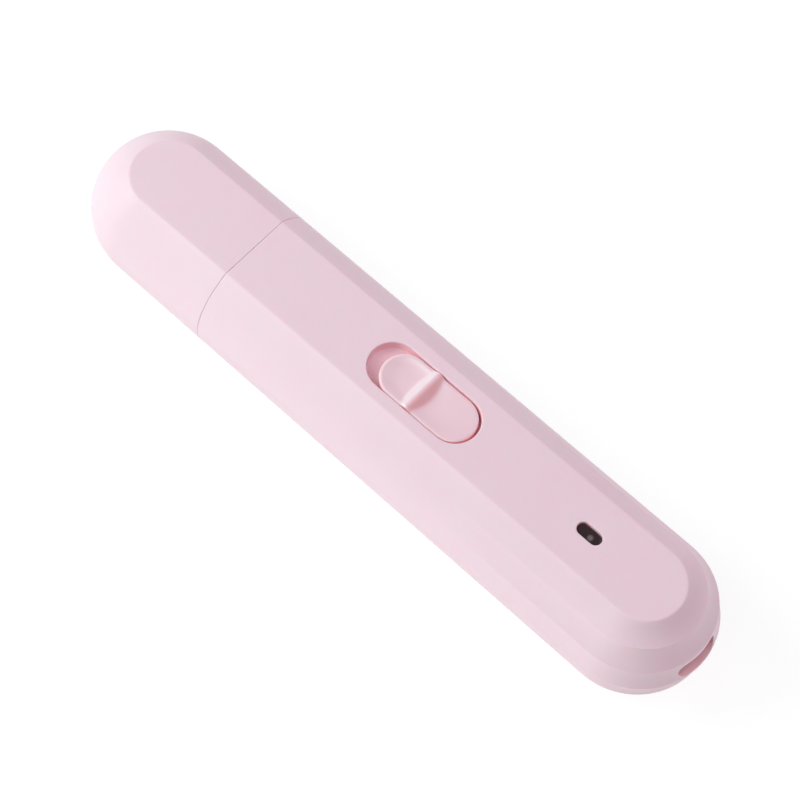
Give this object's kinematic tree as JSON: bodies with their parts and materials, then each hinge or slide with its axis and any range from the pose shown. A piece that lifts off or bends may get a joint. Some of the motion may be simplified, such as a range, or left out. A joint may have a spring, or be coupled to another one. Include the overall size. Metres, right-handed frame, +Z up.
{
  "type": "electric nail grinder",
  "caption": "Pen-shaped rechargeable pet nail grinder: pill-outline body with a flat top, pull-off cap over the abrasive drum, sliding switch, lamp window and charging inlet in the tail.",
  "frame": {"origin": "middle of the outline on the plane of the flat underside", "axes": "+X towards the tail with the charging inlet, -X towards the cap, +Z up through the switch side, Y across"},
  "size_m": [0.148, 0.0306, 0.0265],
  "materials": {
    "shell_pink": "satin",
    "button_pink": "satin",
    "collar_plastic": "satin",
    "seal_rubber": "matte",
    "shield_rubber": "matte",
    "abrasive": "matte",
    "tool_steel": "brushed",
    "chuck_brass": "satin",
    "can_steel": "satin",
    "black_plastic": "matte",
    "magnet_ferrite": "matte",
    "core_steel": "matte",
    "copper": "satin",
    "carbon": "matte",
    "bronze": "matte",
    "washer_plastic": "matte",
    "screw_steel": "satin",
    "frame_plastic": "matte",
    "cell_steel": "satin",
    "sleeve_film": "gloss",
    "nickel": "satin",
    "board_green": "satin",
    "switch_steel": "satin",
    "port_steel": "satin",
    "led_body": "gloss",
    "clear_plastic": "gloss",
    "smoked_lens": "gloss",
    "wire_red": "satin"
  },
  "bodies": {
    "body": {"housing": "shell_pink", "nose_collar": "collar_plastic", "cap_seal_ring": "seal_rubber", "dust_shield": "shield_rubber", "motor_can": "can_steel", "motor_end_cap": "black_plastic", "motor_magnets": "magnet_ferrite", "motor_brushes": "carbon", "motor_terminals": "chuck_brass", "front_bush": "bronze", "rear_bush": "bronze", "motor_screws": "screw_steel", "inner_frame": "frame_plastic", "frame_screws": "screw_steel", "battery_cell": "cell_steel", "battery_sleeve": "sleeve_film", "battery_tabs": "nickel", "circuit_board": "board_green", "board_chips": "black_plastic", "switch_base": "black_plastic", "switch_frame": "switch_steel", "usb_shell": "port_steel", "usb_tongue": "black_plastic", "indicator_led": "led_body", "light_pipe": "clear_plastic", "led_window": "smoked_lens", "motor_wires": "wire_red"},
    "cap": {"front_cap": "shell_pink"},
    "slider": {"slide_button": "button_pink", "switch_actuator": "black_plastic"},
    "spindle": {"grinding_band": "abrasive", "drum_hub": "tool_steel", "bit_shank": "tool_steel", "chuck": "chuck_brass", "motor_shaft": "tool_steel", "rotor_core": "core_steel", "rotor_windings": "copper", "commutator": "copper", "thrust_washers": "washer_plastic"}
  },
  "joints": [
    {"name": "cap_pull", "type": "slide", "parent": "body", "child": "cap", "axis": [-1, 0, 0], "range_m": [0, 0.045]},
    {"name": "switch_slide", "type": "slide", "parent": "body", "child": "slider", "axis": [-1, 0, 0], "range_m": [0, 0.0024]},
    {"name": "spindle_spin", "type": "hinge", "parent": "body", "child": "spindle", "pos_m": [-0.04, 0, 0.0129], "axis": [-1, 0, 0], "continuous": true}
  ]
}
